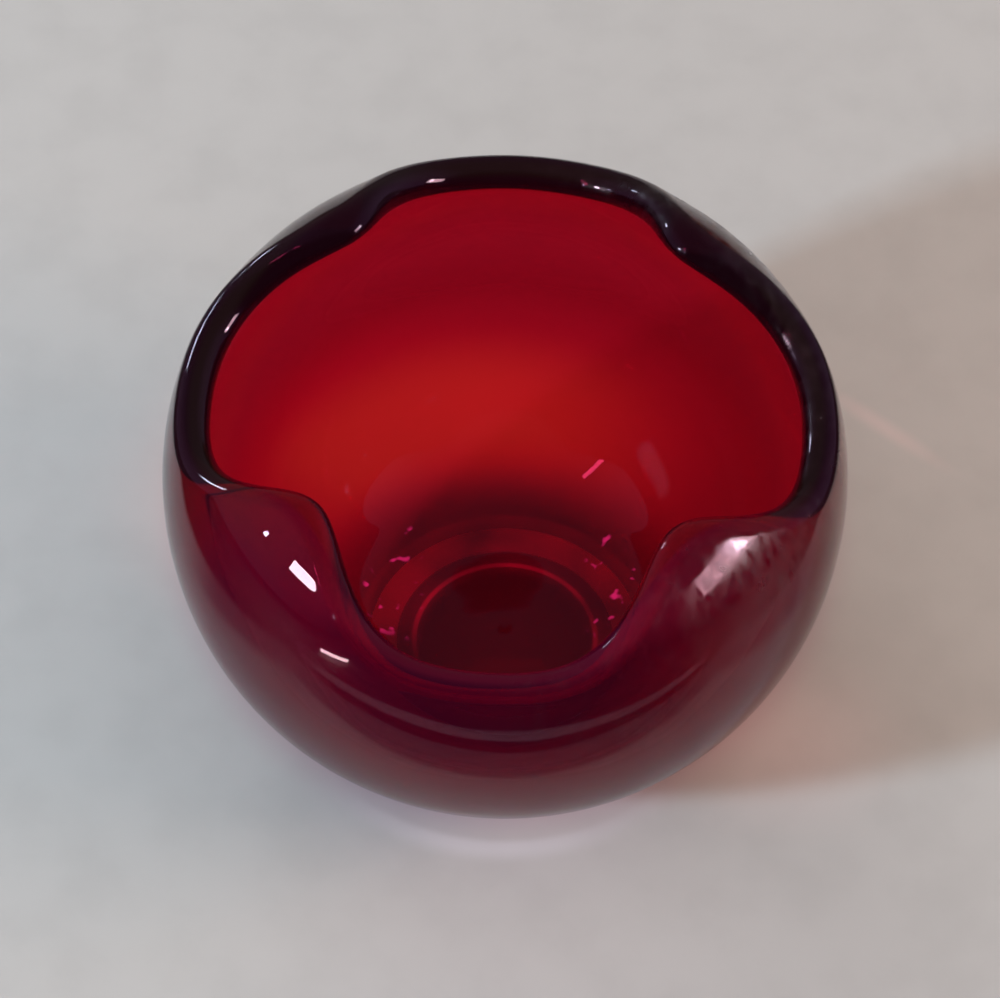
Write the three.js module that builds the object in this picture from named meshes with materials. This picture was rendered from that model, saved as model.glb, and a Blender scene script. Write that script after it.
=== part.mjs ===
// A heavy ruby glass rose bowl: a blown ball cut open at the top, its edge melted to a thick round lip
// and pressed in at four places, on a ground foot. Millimetres, +Z up, origin in the middle of the foot.
// The real bowl is one piece of glass. Its four worked regions are built as separate solids that meet
// at seams: the foot ring, the thick base, the wall and the lip.
import * as THREE from "three";

// Driving dimensions, in millimetres
const bodyDiameter = 120;
const footDiameter = 52;
const footWidth = 9;
const footHeight = 0.8;
const kickDepth = 1.2;
const floorThickness = 7.2;
const baseDish = 13;
const wallThickness = 6.6;
const lipDepth = 5;
const pinchDepth = 4.4;
const seamGap = 0.3;

// Driving angles, in degrees: latitudes are seen from the ball's centre, and turns are about +Z
const lobeLatitude = 17.4;
const pinchLatitude = 32.7;
const dentLatitude = 0;
const lipTilt = 3.4;
const tiltTurn = 103;
const lipTurn = -3.4;

// Counts and sharpness of the curves
const lobeCount = 4;
const lipWaveSharpness = 2.1;
const pinchSharpness = 2.5;
const dentSharpness = 3;
const floorSharpness = 16;

// Fineness of the meshes
const stepsAround = 96;
const wallSteps = 14;
const lipRoundSteps = 12;
const baseSteps = 6;

// Worked out from the driving dimensions
const radians = THREE.MathUtils.degToRad;
const ballRadius = bodyDiameter / 2;
const footRadius = footDiameter / 2;
const centreHeight = Math.sqrt(ballRadius ** 2 - footRadius ** 2);
const lipRadius = wallThickness / 2;
const seamHeight = floorThickness + baseDish;

// 0 in the middle of a lobe, 1 in the middle of a pinch
function pinchShare(around) {
  return Math.sin((lobeCount / 2) * (around - radians(lipTurn))) ** 2;
}

// Latitude of the lip's centre line, lowest in the lobes, highest in the pinches, and tilted a little
function lipLatitude(around) {
  const rise = radians(pinchLatitude - lobeLatitude);
  const wave = rise * pinchShare(around) ** lipWaveSharpness;
  const tilt = radians(lipTilt) * Math.cos(around - radians(tiltTurn));
  return radians(lobeLatitude) + wave + tilt;
}

// Distance of the outside from the ball's centre: the ball itself, pressed in towards each pinch
function outerRadius(latitude, around) {
  const start = radians(dentLatitude);
  const share = (latitude - start) / (lipLatitude(around) - start);
  const press = THREE.MathUtils.clamp(share, 0, 1) ** dentSharpness;
  return ballRadius - pinchDepth * pinchShare(around) ** pinchSharpness * press;
}

// Slope at which the pressed glass leans inwards where it meets the lip's round
function lipLean(around) {
  const reach = (lipLatitude(around) - radians(dentLatitude)) * ballRadius;
  const depth = pinchDepth * pinchShare(around) ** pinchSharpness;
  return (dentSharpness * depth) / reach;
}

// Distance of the cavity's surface from the ball's centre: the wall's inside, flattened to a floor
function innerRadius(latitude, around) {
  const wall = outerRadius(latitude, around) - wallThickness;
  if (latitude >= 0) return wall;
  const floor = (centreHeight - floorThickness) / Math.sin(-latitude);
  const power = -floorSharpness;
  return (wall ** power + floor ** power) ** (1 / power);
}

// Latitude below the ball's middle at which the cavity's surface passes a height, found by halving
function innerLatitude(height) {
  let low = -Math.PI / 2;
  let high = 0;
  for (let i = 0; i < 40; i++) {
    const middle = (low + high) / 2;
    const level = centreHeight + innerRadius(middle, 0) * Math.sin(middle);
    if (level < height) low = middle;
    else high = middle;
  }
  return high;
}

// A point given by its latitude, its turn about +Z and its distance from the ball's centre
function ballPoint(latitude, around, distance) {
  const reach = distance * Math.cos(latitude);
  return new THREE.Vector3(
    reach * Math.cos(around),
    reach * Math.sin(around),
    centreHeight + distance * Math.sin(latitude),
  );
}

// A point given by its distance from the axis and its height above the table
function levelPoint(reach, around, height) {
  return new THREE.Vector3(
    reach * Math.cos(around),
    reach * Math.sin(around),
    height,
  );
}

// One ring of points around the axis, from a function of the turn
function ring(pointAt) {
  const step = (2 * Math.PI) / stepsAround;
  const start = radians(lipTurn);
  return Array.from({ length: stepsAround }, (_, i) => pointAt(start + i * step));
}

// Evenly spaced values from start to end, both included
function spread(start, end, steps) {
  return Array.from({ length: steps + 1 }, (_, i) =>
    THREE.MathUtils.lerp(start, end, i / steps),
  );
}

// A closed surface through rings listed from the outside's foot, over the top and back inside.
// A ring of one point closes the surface on the axis, otherwise the last ring joins the first.
function closedSkin(rings) {
  const positions = rings.flat().flatMap((point) => point.toArray());
  const starts = [];
  let used = 0;
  for (const points of rings) {
    starts.push(used);
    used += points.length;
  }
  const index = [];
  const onAxis = rings[0].length === 1;
  const bands = onAxis ? rings.length - 1 : rings.length;
  for (let band = 0; band < bands; band++) {
    const next = (band + 1) % rings.length;
    for (let i = 0; i < stepsAround; i++) {
      const j = (i + 1) % stepsAround;
      const low = [i, j].map((k) => starts[band] + (k % rings[band].length));
      const high = [i, j].map((k) => starts[next] + (k % rings[next].length));
      if (rings[band].length > 1) index.push(low[0], low[1], high[1]);
      if (rings[next].length > 1) index.push(low[0], high[1], high[0]);
    }
  }
  const geometry = new THREE.BufferGeometry();
  const attribute = new THREE.Float32BufferAttribute(positions, 3);
  geometry.setAttribute("position", attribute);
  geometry.setIndex(index);
  geometry.computeVertexNormals();
  return geometry;
}

// The ring on which the bowl stands: flat below, with the ball's curve outside
function footRingGeometry() {
  const topReach = Math.sqrt(
    ballRadius ** 2 - (centreHeight - footHeight) ** 2,
  );
  const innerReach = footRadius - footWidth;
  return closedSkin([
    ring((around) => levelPoint(innerReach, around, 0)),
    ring((around) => levelPoint(footRadius, around, 0)),
    ring((around) => levelPoint(topReach, around, footHeight)),
    ring((around) => levelPoint(innerReach, around, footHeight)),
  ]);
}

// The thick solid bottom: kicked up inside the foot, flat on the foot ring and at the wall's seam,
// and dished on top as the cavity's floor
function baseGeometry() {
  const innerReach = footRadius - footWidth;
  const kick = spread(0, innerReach, baseSteps).map((reach) => {
    const height = footHeight + kickDepth * (1 - (reach / innerReach) ** 2);
    return reach === 0
      ? [levelPoint(0, 0, height)]
      : ring((around) => levelPoint(reach, around, height));
  });
  const outside = spread(footHeight, seamHeight, baseSteps).map((height) => {
    const reach = Math.sqrt(ballRadius ** 2 - (centreHeight - height) ** 2);
    return ring((around) => levelPoint(reach, around, height));
  });
  const dish = spread(innerLatitude(seamHeight), -Math.PI / 2, baseSteps * 2).map(
    (latitude, i) => {
      const distance = innerRadius(latitude, 0);
      const height = centreHeight + distance * Math.sin(latitude);
      return i === baseSteps * 2
        ? [levelPoint(0, 0, height)]
        : ring((around) => ballPoint(latitude, around, distance));
    },
  );
  for (const point of [...outside.at(-1), ...dish[0]]) point.z = seamHeight;
  return closedSkin([...kick, ...outside, ...dish]);
}

// Where the wall ends below the lip's seam
function wallTop(around) {
  return lipLatitude(around) - (lipDepth + seamGap) / ballRadius;
}

// The blown wall, from the base's flat seam up to the lip's seam
function wallGeometry() {
  const outerFoot = Math.asin((seamHeight - centreHeight) / ballRadius);
  const innerFoot = innerLatitude(seamHeight);
  const outside = spread(0, 1, wallSteps).map((share) =>
    ring((around) => {
      const latitude = THREE.MathUtils.lerp(outerFoot, wallTop(around), share);
      return ballPoint(latitude, around, outerRadius(latitude, around));
    }),
  );
  const inside = spread(1, 0, wallSteps).map((share) =>
    ring((around) => {
      const latitude = THREE.MathUtils.lerp(innerFoot, wallTop(around), share);
      return ballPoint(latitude, around, innerRadius(latitude, around));
    }),
  );
  // Both ends of the seam lie in one flat plane with the base's top
  for (const point of [...outside[0], ...inside.at(-1)]) point.z = seamHeight;
  return closedSkin([...outside, ...inside]);
}

// The melted edge: a band of the wall with a half round top
function lipGeometry() {
  const band = lipDepth / ballRadius;
  const outside = spread(-band, 0, 2).map((below) =>
    ring((around) => {
      const latitude = lipLatitude(around) + below;
      return ballPoint(latitude, around, outerRadius(latitude, around));
    }),
  );
  const round = spread(0, Math.PI, lipRoundSteps)
    .slice(1, -1)
    .map((angle) =>
      ring((around) => {
        const latitude = lipLatitude(around);
        const middle = outerRadius(latitude, around) - lipRadius;
        const out = lipRadius * Math.cos(angle);
        const up = lipRadius * Math.sin(angle);
        const point = ballPoint(latitude, around, middle + out);
        const upward = ballPoint(latitude + Math.PI / 2, around, up);
        const inward = ballPoint(latitude, around, up * lipLean(around));
        return point.add(upward).sub(inward);
      }),
    );
  const inside = spread(0, -band, 2).map((below) =>
    ring((around) => {
      const latitude = lipLatitude(around) + below;
      return ballPoint(latitude, around, innerRadius(latitude, around));
    }),
  );
  return closedSkin([...outside, ...round, ...inside]);
}

// Ruby glass, as bright as each region looks: the thicker the glass, the darker it is
function rubyGlass(color) {
  return new THREE.MeshStandardMaterial({
    color,
    roughness: 0.04,
    metalness: 0,
    transparent: true,
    opacity: 0.85,
  });
}

function region(name, geometry, color) {
  const mesh = new THREE.Mesh(geometry, rubyGlass(color));
  mesh.name = name;
  return mesh;
}

const group = new THREE.Group();
group.add(
  region("foot_ring", footRingGeometry(), "#3a0410"),
  region("base", baseGeometry(), "#500014"),
  region("wall", wallGeometry(), "#8c0418"),
  region("lip", lipGeometry(), "#240d12"),
);

export default group;
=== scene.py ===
"""A ruby glass rose bowl with a thick four-lobed lip, laid out as an add-on.

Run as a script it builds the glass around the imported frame, then the table, the lights and the camera.
Lengths are in metres, +Z is up, the origin is in the middle of the foot and the camera looks towards +Y.
Angles are in radians, except where a comment or a docstring says degrees.
"""

import math
from functools import partial

import bpy
from bpy.props import FloatProperty, FloatVectorProperty, IntProperty, PointerProperty
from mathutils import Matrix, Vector


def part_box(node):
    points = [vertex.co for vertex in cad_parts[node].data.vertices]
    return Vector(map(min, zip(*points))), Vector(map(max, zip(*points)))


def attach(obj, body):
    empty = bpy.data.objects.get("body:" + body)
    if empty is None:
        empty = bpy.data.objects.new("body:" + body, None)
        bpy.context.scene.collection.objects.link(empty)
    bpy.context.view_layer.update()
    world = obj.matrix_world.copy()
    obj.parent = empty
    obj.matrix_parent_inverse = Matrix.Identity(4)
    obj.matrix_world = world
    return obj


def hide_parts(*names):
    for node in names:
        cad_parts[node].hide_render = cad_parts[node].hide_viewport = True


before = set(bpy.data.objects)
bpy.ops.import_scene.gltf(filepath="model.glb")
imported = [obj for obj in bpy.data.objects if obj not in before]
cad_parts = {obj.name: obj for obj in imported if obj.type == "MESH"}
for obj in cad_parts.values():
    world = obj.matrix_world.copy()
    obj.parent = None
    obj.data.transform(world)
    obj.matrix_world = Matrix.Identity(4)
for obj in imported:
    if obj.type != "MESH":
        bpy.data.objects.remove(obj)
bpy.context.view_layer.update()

bl_info = {
    "name": "Ruby rose bowl",
    "version": (1, 0, 0),
    "blender": (4, 5, 0),
    "location": "3D View > Sidebar > Rose bowl",
    "description": "Builds a heavy ruby glass rose bowl with a thick four-lobed lip",
    "category": "Add Mesh",
}

# The photograph's frame, and the round outline of the bowl in it
FRAME_WIDTH_PX = 1000
FRAME_HEIGHT_PX = 998
OUTLINE_CENTRE_PX = (505.0, 476.0)
OUTLINE_RADIUS_PX = 343.0
SENSOR_WIDTH_MM = 36.0

FULL_TURN = 2 * math.pi

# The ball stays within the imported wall, whose flat sides cut a little off the round
WALL_LOW, WALL_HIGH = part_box("wall")
BALL_WIDTH = 2 * min(-WALL_LOW.x, -WALL_LOW.y, WALL_HIGH.x, WALL_HIGH.y)

# Sharpness of the curves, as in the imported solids
LIP_WAVE_SHARPNESS = 2.1
PINCH_SHARPNESS = 2.5
DENT_SHARPNESS = 3
FLOOR_SHARPNESS = 16

# Fineness of the mesh along the section
KICK_STEPS = 14
SLOPE_STEPS = 16
GROUND_STEPS = 6
WALL_STEPS = 110
LIP_ROUND_STEPS = 26

# The ground foot is a little rough, so that it rests on its highest grains
CONTACT_GAP = 0.00006

# Small rounds at the inner and the outer edge of the foot's ground ring
INNER_ROUND = 0.0004
OUTER_ROUND = 0.0005
EDGE_ROUND = 0.0001
EDGE_LIFT = 0.00002
EDGE_SHARE = 0.004

TABLE_HALF_WIDTH = 2.0
ROOM_LIGHT_DISTANCE = 1.6
ROOM_LIGHT_AIM = (0, 0, 0.05)


def length(name, default, description):
    """A size in metres that a user can change."""
    return FloatProperty(
        name=name, default=default, description=description, min=0.0, subtype="DISTANCE", unit="LENGTH"
    )


def angle(name, degrees, description):
    """An angle that a user can change, with its default in degrees."""
    default = math.radians(degrees)
    return FloatProperty(name=name, default=default, description=description, subtype="ANGLE")


def colour(name, default, description):
    """A linear colour that a user can change."""
    return FloatVectorProperty(
        name=name, default=default, description=description, subtype="COLOR", size=3, min=0.0, max=1.0
    )


class RoseBowlShape(bpy.types.PropertyGroup):
    """Sizes of the glass."""

    body_diameter: length("Body diameter", BALL_WIDTH, "Width of the ball that the bowl is blown as")
    foot_diameter: length("Foot diameter", 0.052, "Width of the ground ring that it stands on")
    foot_width: length("Foot width", 0.009, "Width of the foot's ring")
    ground_width: length("Ground width", 0.0045, "Width of the ring's flat, ground where the bowl stands")
    foot_height: length("Foot height", 0.0008, "Height of the ring's inner edge")
    kick_depth: length("Kick depth", 0.0012, "Further rise of the underside in the middle")
    floor_thickness: length("Floor thickness", 0.0072, "Glass under the middle of the cavity")
    wall_thickness: length("Wall thickness", 0.0066, "Thickness of the wall and of its melted edge")
    pinch_depth: length("Pinch depth", 0.0044, "How far each pinch is pressed in from the ball")
    lobe_latitude: angle("Lobe latitude", 17.4, "Height of the lip in a lobe, seen from the centre")
    pinch_latitude: angle("Pinch latitude", 32.7, "Height of the lip in a pinch, seen from the centre")
    dent_latitude: angle("Dent latitude", 0, "Height at which the pinches' dents begin")
    lip_tilt: angle("Lip tilt", 3.4, "How much higher the lip lies at its back")
    tilt_turn: angle("Tilt turn", 103, "Turn about the axis at which the lip is highest")
    lip_turn: angle("Lip turn", -3.4, "Turn of the lobes about the axis")
    lobe_count: IntProperty(name="Lobes", default=4, min=1, description="Number of lobes")
    steps_around: IntProperty(name="Steps around", default=256, min=16, description="Mesh steps around")


class RoseBowlGlass(bpy.types.PropertyGroup):
    """Look of the glass."""

    tint: colour("Tint", (0.88, 0.06, 0.3), "Light left to pass by the absorption")
    density: FloatProperty(name="Density", default=750.0, description="Absorption per metre")
    ior: FloatProperty(name="IOR", default=1.48, description="Index of refraction")


class RoseBowlStage(bpy.types.PropertyGroup):
    """Table and camera."""

    table: colour("Table", (0.49, 0.5, 0.488), "Colour of the pale table top")
    elevation: angle("View elevation", 53.0, "Camera's height over the table, as an angle")
    distance_in_radii: FloatProperty(
        name="View distance", default=11.0, description="Camera distance in ball radii"
    )


class Profile:
    """The bowl's surfaces, each as a point for a place along the section and a turn about the axis."""

    def __init__(self, shape):
        self.shape = shape
        self.ball = shape.body_diameter / 2
        self.cavity = self.ball - shape.wall_thickness
        self.foot = shape.foot_diameter / 2
        self.foot_inner = self.foot - shape.foot_width
        self.ground_inner = self.foot - shape.ground_width
        self.centre = math.sqrt(self.ball**2 - self.foot**2)

    def pinch(self, around):
        """0 in the middle of a lobe, 1 in the middle of a pinch."""
        return math.sin(self.shape.lobe_count / 2 * (around - self.shape.lip_turn)) ** 2

    def lip_latitude(self, around):
        """Latitude at which the lip's round starts: low in the lobes, and tilted a little."""
        shape = self.shape
        rise = shape.pinch_latitude - shape.lobe_latitude
        tilt = shape.lip_tilt * math.cos(around - shape.tilt_turn)
        return shape.lobe_latitude + rise * self.pinch(around) ** LIP_WAVE_SHARPNESS + tilt

    def dent(self, around):
        """How far the lip is pressed in from the ball."""
        return self.shape.pinch_depth * self.pinch(around) ** PINCH_SHARPNESS

    def outer(self, latitude, around):
        """Distance of the outside from the ball's centre."""
        start = self.shape.dent_latitude
        share = (latitude - start) / (self.lip_latitude(around) - start)
        return self.ball - self.dent(around) * min(max(share, 0.0), 1.0) ** DENT_SHARPNESS

    def lean(self, around):
        """Slope at which the pressed glass leans inwards where it meets the lip."""
        span = self.lip_latitude(around) - self.shape.dent_latitude
        return DENT_SHARPNESS * self.dent(around) / (span * self.ball)

    def inner(self, latitude, around):
        """Distance of the cavity's surface from the ball's centre: the wall, flattened to a floor."""
        wall = self.outer(latitude, around) - self.shape.wall_thickness
        if latitude >= 0:
            return wall
        floor = (self.centre - self.shape.floor_thickness) / math.sin(-latitude)
        return (wall**-FLOOR_SHARPNESS + floor**-FLOOR_SHARPNESS) ** (-1 / FLOOR_SHARPNESS)

    def level(self, reach, height, around):
        """A point given by its distance from the axis and its height over the table."""
        return Vector((reach * math.cos(around), reach * math.sin(around), height))

    def point(self, latitude, distance, around):
        """A point given by its latitude and its distance from the ball's centre."""
        height = self.centre + distance * math.sin(latitude)
        return self.level(distance * math.cos(latitude), height, around)

    def on_outside(self, share, around):
        """A point of the outside, from the foot's edge at 0 to the lip at 1."""
        foot_latitude = -math.atan2(self.centre, self.foot)
        latitude = foot_latitude + (self.lip_latitude(around) - foot_latitude) * share
        return self.point(latitude, self.outer(latitude, around), around)

    def on_lip(self, turn, around):
        """A point of the lip's half round, from its outer end at 0 over the top to half a turn."""
        latitude = self.lip_latitude(around)
        radius = self.shape.wall_thickness / 2
        out = self.outer(latitude, around) - radius + radius * math.cos(turn)
        up = radius * math.sin(turn)
        upright = self.point(latitude, out, around) + self.point(latitude + math.pi / 2, up, around)
        return upright - self.point(latitude, up * self.lean(around), around)

    def on_inside(self, share, around):
        """A point of the cavity, from the lip at 0 to the middle of the floor at 1."""
        top = self.lip_latitude(around)
        latitude = top + (-math.pi / 2 - top) * share
        return self.point(latitude, self.inner(latitude, around), around)


def spread(start, end, steps):
    """Evenly spaced values from start to end, both included."""
    return [start + (end - start) * i / steps for i in range(steps + 1)]


def underside(profile):
    """Distance from the axis and height of each ring below, from the kick out to the foot's edge."""
    shape = profile.shape
    sizes = []
    for reach in spread(0, profile.foot_inner, KICK_STEPS)[1:]:
        kick = shape.kick_depth * (1 - (reach / profile.foot_inner) ** 2)
        sizes.append((reach, shape.foot_height + kick))
    for share in spread(0, 1, SLOPE_STEPS)[1:]:
        drop = share * share * (3 - 2 * share)
        reach = profile.foot_inner + (profile.ground_inner - profile.foot_inner) * share
        sizes.append((reach, shape.foot_height + (CONTACT_GAP - shape.foot_height) * drop))
    for reach in spread(profile.ground_inner + INNER_ROUND, profile.foot - OUTER_ROUND, GROUND_STEPS):
        sizes.append((reach, CONTACT_GAP))
    sizes.append((profile.foot - EDGE_ROUND, CONTACT_GAP + EDGE_LIFT))
    return sizes


def glass_rings(profile):
    """One function of the turn for each ring of the skin: underside, outside, lip, inside."""
    rings = [partial(profile.level, reach, height) for reach, height in underside(profile)]
    rings += [partial(profile.on_outside, share) for share in spread(EDGE_SHARE, 1, WALL_STEPS)]
    rings += [partial(profile.on_lip, turn) for turn in spread(0, math.pi, LIP_ROUND_STEPS)[1:-1]]
    rings += [partial(profile.on_inside, share) for share in spread(0, 1, WALL_STEPS)[:-1]]
    return rings


def closed_skin(name, rings, first, last, start, steps):
    """A closed mesh through the rings, from the first point on the axis to the last one."""
    vertices = [first]
    for place in rings:
        vertices.extend(place(start + FULL_TURN * i / steps) for i in range(steps))
    vertices.append(last)
    end = len(vertices) - 1
    faces = [(0, 1 + (i + 1) % steps, 1 + i) for i in range(steps)]
    for band in range(len(rings) - 1):
        low = 1 + band * steps
        high = low + steps
        for i in range(steps):
            j = (i + 1) % steps
            faces.append((low + i, low + j, high + j, high + i))
    top = end - steps
    faces.extend((top + i, top + (i + 1) % steps, end) for i in range(steps))
    mesh = bpy.data.meshes.new(name)
    mesh.from_pydata(vertices, [], faces)
    mesh.polygons.foreach_set("use_smooth", [True] * len(mesh.polygons))
    mesh.validate()
    mesh.update()
    piece = bpy.data.objects.new(name, mesh)
    bpy.context.scene.collection.objects.link(piece)
    return piece


class Maths:
    """A socket with the operators that shader expressions use."""

    def __init__(self, shader, socket):
        self.shader = shader
        self.socket = socket

    def join(self, operation, first, second):
        return self.shader.node("ShaderNodeMath", {"operation": operation}, {0: first, 1: second})

    def __add__(self, other):
        return self.join("ADD", self, other)

    def __mul__(self, other):
        return self.join("MULTIPLY", self, other)

    def __abs__(self):
        return self.shader.node("ShaderNodeMath", {"operation": "ABSOLUTE"}, {0: self})

    __radd__ = __add__
    __rmul__ = __mul__


class Shader:
    """The node tree of a material or of the world, made node by node."""

    def __init__(self, owner, output):
        owner.use_nodes = True
        self.tree = owner.node_tree
        self.tree.nodes.clear()
        self.output = self.tree.nodes.new(output)

    def node(self, kind, settings=None, inputs=None, out=0):
        """Adds a node, sets it, fills its sockets with values or links, and gives one output."""
        made = self.tree.nodes.new(kind)
        for key, value in (settings or {}).items():
            setattr(made, key, value)
        for key, value in (inputs or {}).items():
            self.fill(made.inputs[key], value)
        return Maths(self, made.outputs[out])

    def fill(self, socket, value):
        """Links an output to the socket, or sets the socket's own value."""
        if isinstance(value, Maths):
            self.tree.links.new(value.socket, socket)
        else:
            socket.default_value = value

    def vector(self, operation, first, second, out=0):
        """Vector Math on two vectors."""
        return self.node("ShaderNodeVectorMath", {"operation": operation}, {0: first, 1: second}, out)

    def parts(self, place):
        """A place's distances along X, Y and Z."""
        split = self.node("ShaderNodeSeparateXYZ", {}, {0: place})
        return [Maths(self, socket) for socket in split.socket.node.outputs]

    def distance(self, place, centre):
        """Distance of a place from a fixed centre."""
        return self.vector("DISTANCE", place, centre, out="Value")

    def noise(self, place, scale, detail):
        """Noise around 0.5, with its scale in waves per metre."""
        inputs = {"Vector": place, "Scale": scale, "Detail": detail}
        return self.node("ShaderNodeTexNoise", {}, inputs)

    def rise(self, value, start, end):
        """0 up to the start, then a soft rise to 1 at the end."""
        inputs = {"Value": value, "From Min": start, "From Max": end}
        return self.node("ShaderNodeMapRange", {"interpolation_type": "SMOOTHSTEP"}, inputs)

    def fall(self, value, start, end):
        """1 up to the start, then a soft fall to 0 at the end."""
        return self.rise(value, end, start)

    def band(self, value, start, full, fade, end):
        """0 at the start, 1 from full to fade, 0 again at the end."""
        return self.rise(value, start, full) * self.fall(value, fade, end)

    def tinted(self, share, tint):
        """A colour scaled by a number or a mask."""
        return self.node("ShaderNodeVectorMath", {"operation": "SCALE"}, {0: tint, "Scale": share})

    def add(self, colour, share, tint):
        """A colour with some of another added."""
        return self.vector("ADD", colour, self.tinted(share, tint))

    def mix(self, share, low, high):
        """A colour between two others, by the node's sockets for colours."""
        inputs = {"Factor": share, 6: low, 7: high}
        return self.node("ShaderNodeMix", {"data_type": "RGBA"}, inputs, out=2)

    def blot(self, place, centre, size, degrees=0.0, core=0.0):
        """1 in the core of an ellipse on the table, 0 outside: its centre, half axes and turn."""
        moved = self.vector("SUBTRACT", place, (*centre, 0.0))
        inputs = {"Vector": moved, "Angle": -math.radians(degrees)}
        turned = self.node("ShaderNodeVectorRotate", {"rotation_type": "Z_AXIS"}, inputs)
        scaled = self.vector("DIVIDE", turned, (*size, 1.0))
        return self.fall(self.distance(scaled, (0, 0, 0)), core, 1.0)

    def largest(self, first, *others):
        """The largest of some masks."""
        for other in others:
            first = self.node("ShaderNodeMath", {"operation": "MAXIMUM"}, {0: first, 1: other})
        return first

    def finish(self, surface, volume=None):
        """Links the surface, and the volume if there is one, to the output."""
        self.fill(self.output.inputs["Surface"], surface)
        if volume is not None:
            self.fill(self.output.inputs["Volume"], volume)


class GlassMasks:
    """Soft masks over the glass, from 0 to 1, by where a point lies and by noise."""

    def __init__(self, shader, profile):
        self.shader = shader
        self.rise, self.fall, self.band = shader.rise, shader.fall, shader.band
        self.ball, self.foot, self.shape = profile.ball, profile.foot, profile.shape
        self.cavity, self.foot_inner = profile.cavity, profile.foot_inner
        self.place = shader.node("ShaderNodeTexCoord", out="Object")
        self.side, self.forward, self.height = shader.parts(self.place)
        self.reach = shader.distance(shader.vector("MULTIPLY", self.place, (1, 1, 0)), (0, 0, 0))
        self.from_centre = shader.distance(self.place, (0, 0, profile.centre))
        self.patches = shader.noise(self.place, 45.0, 2.0)
        turn, stretch = (0.6, 0.5, 0.0), (1.0, 1.0, 0.12)
        inputs = {"Vector": self.place, "Rotation": turn, "Scale": stretch}
        self.strokes = shader.noise(shader.node("ShaderNodeMapping", {}, inputs), 420.0, 3.0)
        wall = self.shape.wall_thickness
        edge, middle = 0.18 * wall, 0.39 * wall
        self.outside = self.rise(self.from_centre, self.cavity + 0.03 * wall, self.cavity + edge)
        self.crest = self.band(
            self.from_centre, self.cavity + edge, self.cavity + middle, self.ball - middle, self.ball - edge
        )

    def ground(self):
        """The ring on which the bowl stands, rough from grinding."""
        return self.fall(self.height, 1.5 * CONTACT_GAP, 3 * CONTACT_GAP)

    def foot_behind(self):
        """The foot's ring behind the axis, in patches, where a violet glow is painted."""
        low = self.fall(self.height, 1.5 * self.shape.foot_height, 2 * self.shape.foot_height)
        behind = self.rise(self.forward, -0.27 * self.ball, 0.2 * self.ball)
        glow_patches = self.rise(self.patches, 0.25, 0.7)
        return low * behind * glow_patches

    def foot_edge(self):
        """A thin line along the inner edge of the foot's ring, where a rose glow is painted."""
        edge, line = self.foot_inner, self.shape.foot_width / 30
        return self.band(self.reach, edge - 2 * line, edge - line / 3, edge + line, edge + 3 * line)

    def foot_slope(self):
        """The foot's ring, from its inner edge outwards, where a violet glow is painted."""
        soft = self.shape.foot_width / 9
        return self.rise(self.reach, self.foot_inner - soft, self.foot_inner + soft)

    def smudges(self):
        """Smudges of handling, near the lip and to the right."""
        high = self.rise(self.height, 0.87 * self.ball, 1.1 * self.ball)
        patchy = self.rise(self.patches, 0.4, 0.62)
        streaky = self.rise(self.strokes, 0.35, 0.7)
        right = self.rise(self.side, -0.42 * self.ball, 0.42 * self.ball)
        return high * patchy * streaky * right

    def haze(self):
        """Streaky haze where the outside is pressed in, to the right."""
        wall = self.shape.wall_thickness
        high = self.rise(self.height, 1.03 * self.ball, 1.17 * self.ball)
        pressed = self.fall(self.from_centre, self.ball - 0.12 * wall, self.ball - 0.03 * wall)
        streaky = self.rise(self.strokes, 0.2, 0.75)
        right = self.rise(self.side, -0.17 * self.ball, 0.5 * self.ball)
        return high * pressed * self.outside * streaky * right

    def painted_sparkles(self):
        """Specks on the rim of the cavity's floor, at both sides, where bright glints are painted as glow.
        """
        floor = self.shape.floor_thickness
        rim = self.band(self.height, 1.056 * floor, 1.11 * floor, 1.36 * floor, 1.5 * floor)
        beside = self.rise(abs(self.side), 0.558 * self.foot, 0.654 * self.foot)
        behind = self.rise(self.forward, -0.154 * self.foot, 0.0)
        near_axis = self.fall(self.reach, 1.038 * self.foot, 1.077 * self.foot)
        flecks = self.rise(self.shader.noise(self.place, 400.0, 1.0), 0.64, 0.75)
        return rim * beside * behind * near_axis * flecks

    def painted_wall_glow(self):
        """Low on the cavity's wall behind, fading to the right, where an orange glow is painted."""
        wall = self.shape.wall_thickness
        low = self.band(self.height, 0.18 * self.ball, 0.3 * self.ball, 0.4 * self.ball, 0.6 * self.ball)
        behind = self.rise(self.forward, 0.2 * self.ball, 0.5 * self.ball)
        inside = self.fall(self.from_centre, self.cavity + 0.075 * wall, self.cavity + 0.23 * wall)
        left = self.fall(self.side, -0.17 * self.ball, 0.67 * self.ball)
        return low * behind * inside * left

    def front_lip(self):
        """The lip's round in the front lobe, where a scarlet glow is painted."""
        return self.crest * self.fall(self.forward, -0.77 * self.ball, -0.6 * self.ball)

    def front_shade(self):
        """The outside at the front, where a plum matte layer is mixed in as painted shade."""
        return self.outside * self.fall(self.forward, -0.58 * self.ball, -0.25 * self.ball)


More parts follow.
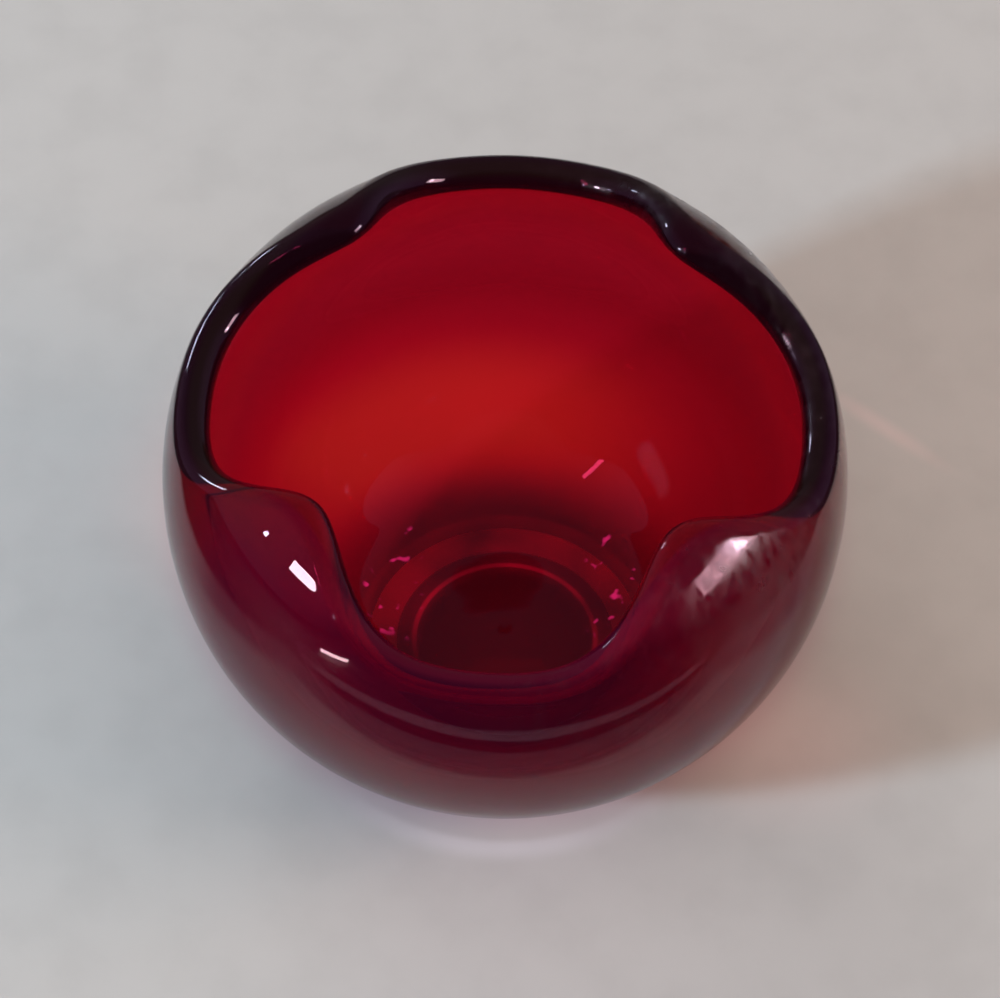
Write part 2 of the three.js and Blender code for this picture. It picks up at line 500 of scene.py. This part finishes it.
def painted_glow(masks):
    """Painted glow on the glass: faint all over, brighter on the foot, back wall, front lip and floor's
    rim.
    """
    shader = masks.shader
    front, lobe = -0.5 * masks.ball, -0.77 * masks.ball
    red, pinker, neutral = (1.0, 0.1, 0.4, 1.0), (1.0, 0.06, 0.45, 1.0), (1.2, 0.5, 0.45, 1.0)
    violet, rose, orange = (1.0, 0.3, 1.0), (1.0, 0.5, 1.0), (1.0, 0.2, 0.0)
    scarlet, crimson = (1.0, 0.05, 0.12), (1.0, 0.02, 0.2)
    # Colour of the faint painted glow: pinker outside at the front, neutral on the lip's crest away from
    # the front lobe
    tone = shader.mix(masks.outside * shader.fall(masks.forward, front, 0.0), red, pinker)
    tone = shader.mix(masks.crest * shader.rise(masks.forward, lobe, front), tone, neutral)
    foot_behind = masks.foot_behind()
    # Painted glow: faint all over, then brighter on the foot's ring behind, low on the back wall, on the
    # front lip and in specks on the floor's rim
    light = shader.tinted(0.006, tone)
    light = shader.add(light, masks.ground() * foot_behind * 0.17, violet)
    light = shader.add(light, masks.foot_slope() * foot_behind * 0.08, violet)
    light = shader.add(light, masks.foot_edge() * foot_behind * 0.36, rose)
    light = shader.add(light, masks.painted_wall_glow() * 0.03, orange)
    light = shader.add(light, masks.front_lip() * 0.045, scarlet)
    return shader.add(light, masks.painted_sparkles() * 0.45, crimson)


def ruby_glass(glass, profile):
    """Clear ruby glass coloured through its whole thickness, with painted glow and front painted shade."""
    material = bpy.data.materials.new("ruby_glass")
    shader = Shader(material, "ShaderNodeOutputMaterial")
    masks = GlassMasks(shader, profile)
    ground_roughness, haze_roughness, smudge_coat, front_shade_share = 0.45, 0.28, 0.55, 0.25
    waves = shader.noise(masks.place, 28.0, 2.0)
    ripples = shader.node("ShaderNodeBump", {}, {"Strength": 0.25, "Distance": 0.0012, "Height": waves})
    clear = shader.node(
        "ShaderNodeBsdfPrincipled",
        {},
        {
            "Base Color": (1.0, 1.0, 1.0, 1.0),
            "Roughness": masks.ground() * ground_roughness + masks.haze() * haze_roughness,
            "IOR": glass.ior,
            "Specular IOR Level": 0.32,
            "Specular Tint": (1.0, 0.55, 0.8, 1.0),
            "Transmission Weight": 1.0,
            "Coat Weight": masks.smudges() * smudge_coat,
            "Coat Roughness": 0.33,
            # Painted light: this emission makes the glass glow though it is no lamp
            "Emission Color": painted_glow(masks),
            "Emission Strength": 1.0,
            "Normal": ripples,
        },
    )
    # Painted shade on the front outside: a plum matte layer mixed into the glass dims what it mirrors and
    # shows there
    plum = (0.08, 0.0, 0.022, 1.0)
    front_shade = shader.node(
        "ShaderNodeBsdfPrincipled", {}, {"Base Color": plum, "Roughness": 0.6, "Specular IOR Level": 0.0}
    )
    surface = shader.node("ShaderNodeMixShader", {}, {0: masks.front_shade() * front_shade_share, 1: clear, 2: front_shade})
    inputs = {"Color": (*glass.tint, 1.0), "Density": glass.density}
    volume = shader.node("ShaderNodeVolumeAbsorption", {}, inputs)
    shader.finish(surface, volume)
    return material


class ROSEBOWL_OT_glass(bpy.types.Operator):
    """Builds the glass: one continuous closed skin from the foot over the lip to the cavity's floor"""

    bl_idname = "rosebowl.glass"
    bl_label = "Glass"

    def execute(self, context):
        shape = context.scene.rosebowl_shape
        profile = Profile(shape)
        kick_top = Vector((0, 0, shape.foot_height + shape.kick_depth))
        floor = Vector((0, 0, shape.floor_thickness))
        rings = glass_rings(profile)
        piece = closed_skin("rose_bowl", rings, kick_top, floor, shape.lip_turn, shape.steps_around)
        piece.data.materials.append(ruby_glass(context.scene.rosebowl_glass, profile))
        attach(piece, "root")
        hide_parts("foot_ring", "base", "wall", "lip")
        return {"FINISHED"}


def area_light(name, place, target, size, power, tint):
    """A soft rectangular light that faces the target."""
    light = bpy.data.lights.new(name, "AREA")
    light.shape = "RECTANGLE"
    light.size, light.size_y = size
    light.energy = power
    light.color = tint
    lamp = bpy.data.objects.new(name, light)
    lamp.location = place
    lamp.rotation_euler = (Vector(target) - Vector(place)).to_track_quat("-Z", "Y").to_euler()
    bpy.context.scene.collection.objects.link(lamp)
    return lamp


def towards(azimuth, elevation, distance):
    """A place seen from the bowl, in degrees: azimuth from +Y towards +X, elevation over the table."""
    azimuth, elevation = math.radians(azimuth), math.radians(elevation)
    flat = distance * math.cos(elevation)
    return Vector((flat * math.sin(azimuth), flat * math.cos(azimuth), distance * math.sin(elevation)))


def table_colour(shader, place, grain, tint):
    """Pale worn table with painted shade under the bowl, with places in ball radii.

    Beyond the camera's frame, painted shade makes it dim and then dark, apart from a pale stripe in front
    that the glass mirrors as a curved line.
    """
    side, forward, _ = shader.parts(place)
    worn = tuple(0.94 * part for part in tint)
    # Painted red-tinted shade under the bowl
    under_bowl = shader.blot(place, (0.0, 0.567), (1.15, 1.317), core=0.75)
    # Painted shade beyond the camera's frame: dim, then dark, apart from a pale stripe
    dim_front = shader.fall(forward, -1.4, -1.317)
    dim_sides = shader.rise(abs(side), 1.667, 2.0) * shader.fall(forward, -0.5, 0.167)
    dark_front = shader.fall(forward, -1.817, -1.767)
    dark_left = shader.fall(side, -2.833, -2.5)
    dark_right = shader.rise(side, 2.833, 3.167)
    stripe = shader.band(forward, -2.3, -2.233, -2.05, -2.0)
    stripe = stripe * shader.band(side, -2.833, -2.167, 2.167, 2.833)
    colour = shader.mix(shader.rise(grain, 0.35, 0.75), (*tint, 1.0), (*worn, 1.0))
    colour = shader.mix(under_bowl, colour, (0.4, 0.2, 0.27, 1.0))
    colour = shader.mix(shader.largest(dim_front, dim_sides), colour, (0.24, 0.21, 0.235, 1.0))
    dark = shader.largest(dark_front, dark_left, dark_right)
    colour = shader.mix(dark, colour, (0.02, 0.02, 0.022, 1.0))
    return shader.mix(stripe, colour, (0.45, 0.42, 0.45, 1.0))


def painted_caustics(shader, place):
    """Painted light on the table where the glass would gather light, with places in ball radii.

    It is red behind the bowl, a pale arc and soft blots before it, and a streak at its right.
    """
    reach = shader.distance(place, (0, 0, 0))
    behind = shader.band(reach, 0.517, 0.8, 0.967, 1.667)
    behind = behind * shader.blot(place, (-0.233, 0.917), (1.367, 1.083), core=0.2)
    arc = shader.band(reach, 0.683, 0.713, 0.723, 0.783)
    arc = arc * shader.blot(place, (-0.033, -0.75), (0.667, 0.567))
    under_front = shader.blot(place, (0.0, -0.533), (0.75, 0.5))
    front = shader.blot(place, (0.0, -1.033), (1.167, 0.583))
    right = shader.blot(place, (0.833, -0.333), (0.5, 0.417))
    streak = shader.blot(place, (1.233, 0.883), (0.367, 0.05), degrees=-41)
    # Painted light: red behind, a pale arc, soft blots in front and at the right, and a streak
    light = shader.tinted(behind * 0.4, (1.0, 0.2, 0.13))
    light = shader.add(light, arc * 0.09, (0.85, 0.78, 1.0))
    light = shader.add(light, under_front * 0.06, (0.9, 0.75, 1.0))
    light = shader.add(light, front * 0.06, (1.0, 0.8, 0.82))
    light = shader.add(light, right * 0.1, (1.0, 0.5, 0.45))
    return shader.add(light, streak * 0.08, (1.0, 0.35, 0.35))


def pale_table(tint, ball):
    """A pale table top with painted light where the glass would gather light on it."""
    material = bpy.data.materials.new("pale_table")
    shader = Shader(material, "ShaderNodeOutputMaterial")
    place = shader.node("ShaderNodeTexCoord", out="Object")
    in_radii = shader.vector("DIVIDE", place, (ball, ball, ball))
    grain = shader.noise(place, 70.0, 4.0)
    inputs = {
        "Base Color": table_colour(shader, in_radii, grain, tint),
        "Roughness": grain * 0.2 + 0.45,
        # Painted light where the glass would gather light on the table
        "Emission Color": painted_caustics(shader, in_radii),
        "Emission Strength": 1.0,
    }
    shader.finish(shader.node("ShaderNodeBsdfPrincipled", {}, inputs))
    return material


class ROSEBOWL_OT_stage(bpy.types.Operator):
    """Adds the pale table, the soft lights and the camera"""

    bl_idname = "rosebowl.stage"
    bl_label = "Stage"

    def execute(self, context):
        scene = context.scene
        profile = Profile(scene.rosebowl_shape)
        self.table(scene.rosebowl_stage, profile)
        self.room_lights()
        self.highlights()
        self.room(scene)
        self.camera(scene, profile)
        scene.view_settings.view_transform = "Standard"
        scene.cycles.max_bounces = 40
        scene.cycles.glossy_bounces = 24
        scene.cycles.transmission_bounces = 24
        return {"FINISHED"}

    def table(self, stage, profile):
        """A large flat table top at the height on which the bowl stands."""
        half = TABLE_HALF_WIDTH
        mesh = bpy.data.meshes.new("table")
        corners = [(-half, -half, 0), (half, -half, 0), (half, half, 0), (-half, half, 0)]
        mesh.from_pydata(corners, [], [(0, 1, 2, 3)])
        mesh.materials.append(pale_table(stage.table, profile.ball))
        table = bpy.data.objects.new("table", mesh)
        bpy.context.scene.collection.objects.link(table)

    def room_lights(self):
        """Soft lights that brighten the scene, of which only the ceiling is seen through the glass."""
        daylight, lamplight, plain_white = (0.65, 0.85, 1.0), (1.0, 0.58, 0.34), (0.96, 1.0, 0.96)
        wall_light, ceiling_light = (1.0, 0.95, 0.92), (1.0, 0.86, 0.8)
        self.room_light("left_light", -117, 26, size=(0.14, 0.2), power=23, tint=daylight)
        self.room_light("right_light", 100, 28, size=(0.8, 0.4), power=12, tint=lamplight)
        self.room_light("back_light", -28, 32, size=(1.2, 0.6), power=7.6, tint=plain_white)
        ceiling = self.room_light("ceiling", 180, 80, size=(2.4, 2.4), power=16, tint=ceiling_light)
        ceiling.visible_transmission = True
        self.room_light("front_light", 185, 38, size=(0.8, 0.5), power=1.5, tint=wall_light)

    def room_light(self, name, azimuth, elevation, size, power, tint):
        """A soft light that isn't seen in the glass, with its azimuth and elevation in degrees."""
        place = towards(azimuth, elevation, ROOM_LIGHT_DISTANCE)
        lamp = area_light(name, place, ROOM_LIGHT_AIM, size, power, tint)
        lamp.visible_glossy = False
        lamp.visible_transmission = False
        return lamp

    def highlights(self):
        """Upright panels for the windows and lamps that the glass mirrors."""
        white, bluish = (0.85, 1.0, 0.93), (0.65, 0.9, 1.0)
        warm, pink = (1.0, 1.0, 0.85), (1.0, 0.1, 0.25)
        self.highlight("left_window", -118, low=0.4, high=0.56, width=0.15, glow=51, tint=white)
        self.highlight("left_far", -99, low=0.4, high=0.46, width=0.03, glow=68, tint=bluish)
        self.highlight("left_spot", -136, low=0.53, high=0.58, width=0.03, glow=45, tint=bluish)
        self.highlight("left_slit", -130, low=0.75, high=1.4, width=0.04, glow=12, tint=pink)
        self.highlight(
            "left_glint", -133, low=0.002, high=0.012, width=0.03, glow=27, tint=warm, distance=0.3
        )
        self.highlight("back_window", -46, low=0.34, high=0.43, width=0.1, glow=21, tint=bluish)
        self.highlight("right_window", 108, low=0.32, high=0.62, width=0.48, glow=13, tint=warm)
        self.highlight("right_core", 99, low=0.37, high=0.6, width=0.07, glow=45, tint=white)

    def highlight(self, name, azimuth, low, high, width, glow, tint, distance=1.0):
        """A panel that is seen only in reflections: its azimuth in degrees, its heights, its radiance."""
        place = towards(azimuth, 0, distance) + Vector((0, 0, (low + high) / 2))
        power = glow * math.pi * width * (high - low)
        lamp = area_light(name, place, (0, 0, place.z), (width, high - low), power, tint)
        lamp.visible_camera = False
        lamp.visible_diffuse = False
        lamp.visible_transmission = False

    def room(self, scene):
        """A dim room that is brighter at both sides and darkest behind the camera."""
        world = bpy.data.worlds.new("room")
        shader = Shader(world, "ShaderNodeOutputWorld")
        side, forward, _ = shader.parts(shader.node("ShaderNodeTexCoord", out="Generated"))
        middle, sides, front = (0.1, 0.093, 0.105, 1.0), (0.22, 0.18, 0.27, 1.0), (0.03, 0.03, 0.032, 1.0)
        colour = shader.mix(shader.rise(abs(side), 0.3, 0.9), middle, sides)
        colour = shader.mix(shader.fall(forward, -0.75, -0.25), colour, front)
        shader.finish(shader.node("ShaderNodeBackground", {}, {"Color": colour}))
        scene.world = world

    def camera(self, scene, profile):
        """Places the camera so that the ball's outline falls where the photograph shows it."""
        stage = scene.rosebowl_stage
        radii = stage.distance_in_radii
        lens_px = OUTLINE_RADIUS_PX * math.sqrt(radii**2 - 1)
        back = Vector((0, -math.cos(stage.elevation), math.sin(stage.elevation)))
        right = Vector((1, 0, 0))
        up = back.cross(right)
        across = (OUTLINE_CENTRE_PX[0] - FRAME_WIDTH_PX / 2) / lens_px
        rise = (FRAME_HEIGHT_PX / 2 - OUTLINE_CENTRE_PX[1]) / lens_px
        forward = -back - across * right - rise * up
        data = bpy.data.cameras.new("camera")
        data.sensor_fit = "HORIZONTAL"
        data.sensor_width = SENSOR_WIDTH_MM
        data.lens = SENSOR_WIDTH_MM * lens_px / FRAME_WIDTH_PX
        data.clip_start = 0.01
        camera = bpy.data.objects.new("camera", data)
        camera.location = Vector((0, 0, profile.centre)) + radii * profile.ball * back
        camera.rotation_euler = forward.to_track_quat("-Z", "Y").to_euler()
        scene.collection.objects.link(camera)
        scene.camera = camera


class ROSEBOWL_PT_panel(bpy.types.Panel):
    """Lists the sizes and the steps in the sidebar."""

    bl_label = "Rose bowl"
    bl_space_type = "VIEW_3D"
    bl_region_type = "UI"
    bl_category = "Rose bowl"

    def draw(self, context):
        for group in GROUPS:
            settings = getattr(context.scene, group)
            for name in settings.bl_rna.properties.keys():
                if name not in ("rna_type", "name"):
                    self.layout.prop(settings, name)
        for operator in OPERATORS:
            self.layout.operator(operator.bl_idname)


GROUPS = {"rosebowl_shape": RoseBowlShape, "rosebowl_glass": RoseBowlGlass, "rosebowl_stage": RoseBowlStage}
OPERATORS = (ROSEBOWL_OT_glass, ROSEBOWL_OT_stage)
CLASSES = (*GROUPS.values(), *OPERATORS, ROSEBOWL_PT_panel)


def register():
    for cls in CLASSES:
        bpy.utils.register_class(cls)
    for name, group in GROUPS.items():
        setattr(bpy.types.Scene, name, PointerProperty(type=group))


def unregister():
    for name in GROUPS:
        delattr(bpy.types.Scene, name)
    for cls in reversed(CLASSES):
        bpy.utils.unregister_class(cls)


def main():
    register()
    bpy.ops.rosebowl.glass()
    bpy.ops.rosebowl.stage()


if __name__ == "__main__":
    main()
